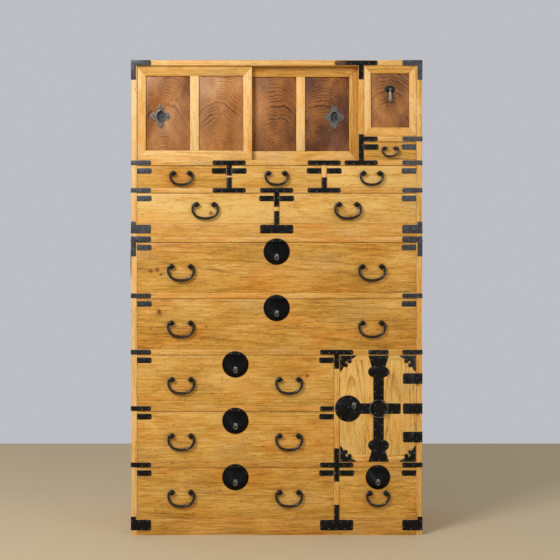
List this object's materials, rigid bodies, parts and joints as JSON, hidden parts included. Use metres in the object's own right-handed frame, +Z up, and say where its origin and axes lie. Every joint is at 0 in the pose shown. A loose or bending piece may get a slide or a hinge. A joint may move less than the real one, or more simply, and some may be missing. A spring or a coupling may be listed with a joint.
{
  "type": "stacked drawer chest",
  "caption": "Two-section wooden clothing chest with drawers, sliding doors, a hinged safe door and black iron fittings.",
  "frame": {"origin": "on the floor, at the middle of the footprint of the cases", "axes": "+Z up, -Y to the front, +X to the right as seen from the front"},
  "size_m": [0.996, 0.4435, 1.553],
  "materials": {
    "case_wood": "satin",
    "drawer_wood": "satin",
    "figured_wood": "satin",
    "iron": "satin"
  },
  "bodies": {
    "lower_case": {"lower_case": "case_wood", "lower_case_ironwork": "iron"},
    "upper_case": {"upper_case": "case_wood", "upper_case_ironwork": "iron"},
    "wide_drawer_top": {"wide_drawer_top": "drawer_wood", "wide_drawer_top_ironwork": "iron"},
    "wide_drawer_top_left_bail": {"wide_drawer_top_left_bail": "iron"},
    "wide_drawer_top_right_bail": {"wide_drawer_top_right_bail": "iron"},
    "wide_drawer_bottom": {"wide_drawer_bottom": "drawer_wood", "wide_drawer_bottom_ironwork": "iron"},
    "wide_drawer_bottom_left_bail": {"wide_drawer_bottom_left_bail": "iron"},
    "wide_drawer_bottom_right_bail": {"wide_drawer_bottom_right_bail": "iron"},
    "left_drawer_top": {"left_drawer_top": "drawer_wood", "left_drawer_top_ironwork": "iron"},
    "left_drawer_top_left_bail": {"left_drawer_top_left_bail": "iron"},
    "left_drawer_top_right_bail": {"left_drawer_top_right_bail": "iron"},
    "left_drawer_middle": {"left_drawer_middle": "drawer_wood", "left_drawer_middle_ironwork": "iron"},
    "left_drawer_middle_left_bail": {"left_drawer_middle_left_bail": "iron"},
    "left_drawer_middle_right_bail": {"left_drawer_middle_right_bail": "iron"},
    "left_drawer_bottom": {"left_drawer_bottom": "drawer_wood", "left_drawer_bottom_ironwork": "iron"},
    "left_drawer_bottom_left_bail": {"left_drawer_bottom_left_bail": "iron"},
    "left_drawer_bottom_right_bail": {"left_drawer_bottom_right_bail": "iron"},
    "corner_drawer": {"corner_drawer": "drawer_wood", "corner_drawer_ironwork": "iron"},
    "corner_drawer_bail": {"corner_drawer_bail": "iron"},
    "half_drawer_left": {"half_drawer_left": "drawer_wood", "half_drawer_left_ironwork": "iron"},
    "half_drawer_left_bail": {"half_drawer_left_bail": "iron"},
    "half_drawer_right": {"half_drawer_right": "drawer_wood", "half_drawer_right_ironwork": "iron"},
    "half_drawer_right_bail": {"half_drawer_right_bail": "iron"},
    "third_drawer_left": {"third_drawer_left": "drawer_wood", "third_drawer_left_ironwork": "iron"},
    "third_drawer_left_bail": {"third_drawer_left_bail": "iron"},
    "third_drawer_middle": {"third_drawer_middle": "drawer_wood", "third_drawer_middle_ironwork": "iron"},
    "third_drawer_middle_bail": {"third_drawer_middle_bail": "iron"},
    "third_drawer_right": {"third_drawer_right": "drawer_wood", "third_drawer_right_ironwork": "iron"},
    "third_drawer_right_bail": {"third_drawer_right_bail": "iron"},
    "small_drawer": {"small_drawer": "drawer_wood", "small_drawer_ironwork": "iron"},
    "small_drawer_bail": {"small_drawer_bail": "iron"},
    "left_sliding_door": {"left_sliding_door_frame": "case_wood", "left_sliding_door_panels": "figured_wood", "left_sliding_door_pull": "iron"},
    "right_sliding_door": {"right_sliding_door_frame": "case_wood", "right_sliding_door_panels": "figured_wood", "right_sliding_door_pull": "iron"},
    "lift_out_door": {"lift_out_door_frame": "case_wood", "lift_out_door_panel": "figured_wood", "lift_out_door_plate": "iron"},
    "lift_out_door_drop": {"lift_out_door_drop": "iron"},
    "safe_door": {"safe_door": "drawer_wood", "safe_door_ironwork": "iron"},
    "safe_door_ring": {"safe_door_ring": "iron"},
    "left_carrying_handle": {"left_carrying_handle": "iron"},
    "right_carrying_handle": {"right_carrying_handle": "iron"}
  },
  "joints": [
    {"name": "upper_case_lift", "type": "slide", "parent": "lower_case", "child": "upper_case", "axis": [0, 0, 1], "range_m": [0, 0.05]},
    {"name": "wide_drawer_top_slide", "type": "slide", "parent": "lower_case", "child": "wide_drawer_top", "axis": [0, -1, 0], "range_m": [0, 0.3]},
    {"name": "wide_drawer_top_left_bail_hinge", "type": "hinge", "parent": "wide_drawer_top", "child": "wide_drawer_top_left_bail", "pos_m": [-0.312, -0.223, 0.8778], "axis": [-1, 0, 0], "range_deg": [-4, 150]},
    {"name": "wide_drawer_top_right_bail_hinge", "type": "hinge", "parent": "wide_drawer_top", "child": "wide_drawer_top_right_bail", "pos_m": [0.312, -0.223, 0.8778], "axis": [-1, 0, 0], "range_deg": [-4, 150]},
    {"name": "wide_drawer_bottom_slide", "type": "slide", "parent": "lower_case", "child": "wide_drawer_bottom", "axis": [0, -1, 0], "range_m": [0, 0.3]},
    {"name": "wide_drawer_bottom_left_bail_hinge", "type": "hinge", "parent": "wide_drawer_bottom", "child": "wide_drawer_bottom_left_bail", "pos_m": [-0.312, -0.223, 0.6934], "axis": [-1, 0, 0], "range_deg": [-4, 150]},
    {"name": "wide_drawer_bottom_right_bail_hinge", "type": "hinge", "parent": "wide_drawer_bottom", "child": "wide_drawer_bottom_right_bail", "pos_m": [0.312, -0.223, 0.6934], "axis": [-1, 0, 0], "range_deg": [-4, 150]},
    {"name": "left_drawer_top_slide", "type": "slide", "parent": "lower_case", "child": "left_drawer_top", "axis": [0, -1, 0], "range_m": [0, 0.3]},
    {"name": "left_drawer_top_left_bail_hinge", "type": "hinge", "parent": "left_drawer_top", "child": "left_drawer_top_left_bail", "pos_m": [-0.3109, -0.223, 0.509], "axis": [-1, 0, 0], "range_deg": [-4, 150]},
    {"name": "left_drawer_top_right_bail_hinge", "type": "hinge", "parent": "left_drawer_top", "child": "left_drawer_top_right_bail", "pos_m": [0.0411, -0.223, 0.509], "axis": [-1, 0, 0], "range_deg": [-4, 150]},
    {"name": "left_drawer_middle_slide", "type": "slide", "parent": "lower_case", "child": "left_drawer_middle", "axis": [0, -1, 0], "range_m": [0, 0.3]},
    {"name": "left_drawer_middle_left_bail_hinge", "type": "hinge", "parent": "left_drawer_middle", "child": "left_drawer_middle_left_bail", "pos_m": [-0.3109, -0.223, 0.3246], "axis": [-1, 0, 0], "range_deg": [-4, 150]},
    {"name": "left_drawer_middle_right_bail_hinge", "type": "hinge", "parent": "left_drawer_middle", "child": "left_drawer_middle_right_bail", "pos_m": [0.0411, -0.223, 0.3246], "axis": [-1, 0, 0], "range_deg": [-4, 150]},
    {"name": "left_drawer_bottom_slide", "type": "slide", "parent": "lower_case", "child": "left_drawer_bottom", "axis": [0, -1, 0], "range_m": [0, 0.3]},
    {"name": "left_drawer_bottom_left_bail_hinge", "type": "hinge", "parent": "left_drawer_bottom", "child": "left_drawer_bottom_left_bail", "pos_m": [-0.3109, -0.223, 0.1402], "axis": [-1, 0, 0], "range_deg": [-4, 150]},
    {"name": "left_drawer_bottom_right_bail_hinge", "type": "hinge", "parent": "left_drawer_bottom", "child": "left_drawer_bottom_right_bail", "pos_m": [0.0411, -0.223, 0.1402], "axis": [-1, 0, 0], "range_deg": [-4, 150]},
    {"name": "corner_drawer_slide", "type": "slide", "parent": "lower_case", "child": "corner_drawer", "axis": [0, -1, 0], "range_m": [0, 0.3]},
    {"name": "corner_drawer_bail_hinge", "type": "hinge", "parent": "corner_drawer", "child": "corner_drawer_bail", "pos_m": [0.3311, -0.223, 0.1372], "axis": [-1, 0, 0], "range_deg": [-4, 150]},
    {"name": "half_drawer_left_slide", "type": "slide", "parent": "upper_case", "child": "half_drawer_left", "axis": [0, -1, 0], "range_m": [0, 0.3]},
    {"name": "half_drawer_left_bail_hinge", "type": "hinge", "parent": "half_drawer_left", "child": "half_drawer_left_bail", "pos_m": [-0.233, -0.223, 1.0805], "axis": [-1, 0, 0], "range_deg": [-4, 150]},
    {"name": "half_drawer_right_slide", "type": "slide", "parent": "upper_case", "child": "half_drawer_right", "axis": [0, -1, 0], "range_m": [0, 0.3]},
    {"name": "half_drawer_right_bail_hinge", "type": "hinge", "parent": "half_drawer_right", "child": "half_drawer_right_bail", "pos_m": [0.233, -0.223, 1.0805], "axis": [-1, 0, 0], "range_deg": [-4, 150]},
    {"name": "third_drawer_left_slide", "type": "slide", "parent": "upper_case", "child": "third_drawer_left", "axis": [0, -1, 0], "range_m": [0, 0.3]},
    {"name": "third_drawer_left_bail_hinge", "type": "hinge", "parent": "third_drawer_left", "child": "third_drawer_left_bail", "pos_m": [-0.31067, -0.223, 1.1825], "axis": [-1, 0, 0], "range_deg": [-4, 150]},
    {"name": "third_drawer_middle_slide", "type": "slide", "parent": "upper_case", "child": "third_drawer_middle", "axis": [0, -1, 0], "range_m": [0, 0.3]},
    {"name": "third_drawer_middle_bail_hinge", "type": "hinge", "parent": "third_drawer_middle", "child": "third_drawer_middle_bail", "pos_m": [0, -0.223, 1.1825], "axis": [-1, 0, 0], "range_deg": [-4, 150]},
    {"name": "third_drawer_right_slide", "type": "slide", "parent": "upper_case", "child": "third_drawer_right", "axis": [0, -1, 0], "range_m": [0, 0.3]},
    {"name": "third_drawer_right_bail_hinge", "type": "hinge", "parent": "third_drawer_right", "child": "third_drawer_right_bail", "pos_m": [0.31067, -0.223, 1.1825], "axis": [-1, 0, 0], "range_deg": [-4, 150]},
    {"name": "small_drawer_slide", "type": "slide", "parent": "upper_case", "child": "small_drawer", "axis": [0, -1, 0], "range_m": [0, 0.3]},
    {"name": "small_drawer_bail_hinge", "type": "hinge", "parent": "small_drawer", "child": "small_drawer_bail", "pos_m": [0.37115, -0.223, 1.2645], "axis": [-1, 0, 0], "range_deg": [-4, 150]},
    {"name": "left_sliding_door_slide", "type": "slide", "parent": "upper_case", "child": "left_sliding_door", "axis": [1, 0, 0], "range_m": [0, 0.347]},
    {"name": "right_sliding_door_slide", "type": "slide", "parent": "upper_case", "child": "right_sliding_door", "axis": [-1, 0, 0], "range_m": [0, 0.347]},
    {"name": "lift_out_door_lift", "type": "slide", "parent": "upper_case", "child": "lift_out_door", "axis": [0, 0, 1], "range_m": [0, 0.007]},
    {"name": "lift_out_door_drop_hinge", "type": "hinge", "parent": "lift_out_door", "child": "lift_out_door_drop", "pos_m": [0.37115, -0.218, 1.45845], "axis": [-1, 0, 0], "range_deg": [0, 110]},
    {"name": "safe_door_hinge", "type": "hinge", "parent": "lower_case", "child": "safe_door", "pos_m": [0.457, -0.2197, 0.4138], "axis": [0, 0, 1], "range_deg": [0, 170]},
    {"name": "safe_door_ring_hinge", "type": "hinge", "parent": "safe_door", "child": "safe_door_ring", "pos_m": [0.3331, -0.2223, 0.4428], "axis": [-1, 0, 0], "range_deg": [-3, 150]},
    {"name": "left_carrying_handle_hinge", "type": "hinge", "parent": "lower_case", "child": "left_carrying_handle", "pos_m": [-0.492, 0, 0.932], "axis": [0, 1, 0], "range_deg": [-5, 100]},
    {"name": "right_carrying_handle_hinge", "type": "hinge", "parent": "lower_case", "child": "right_carrying_handle", "pos_m": [0.492, 0, 0.932], "axis": [0, -1, 0], "range_deg": [-5, 100]}
  ]
}
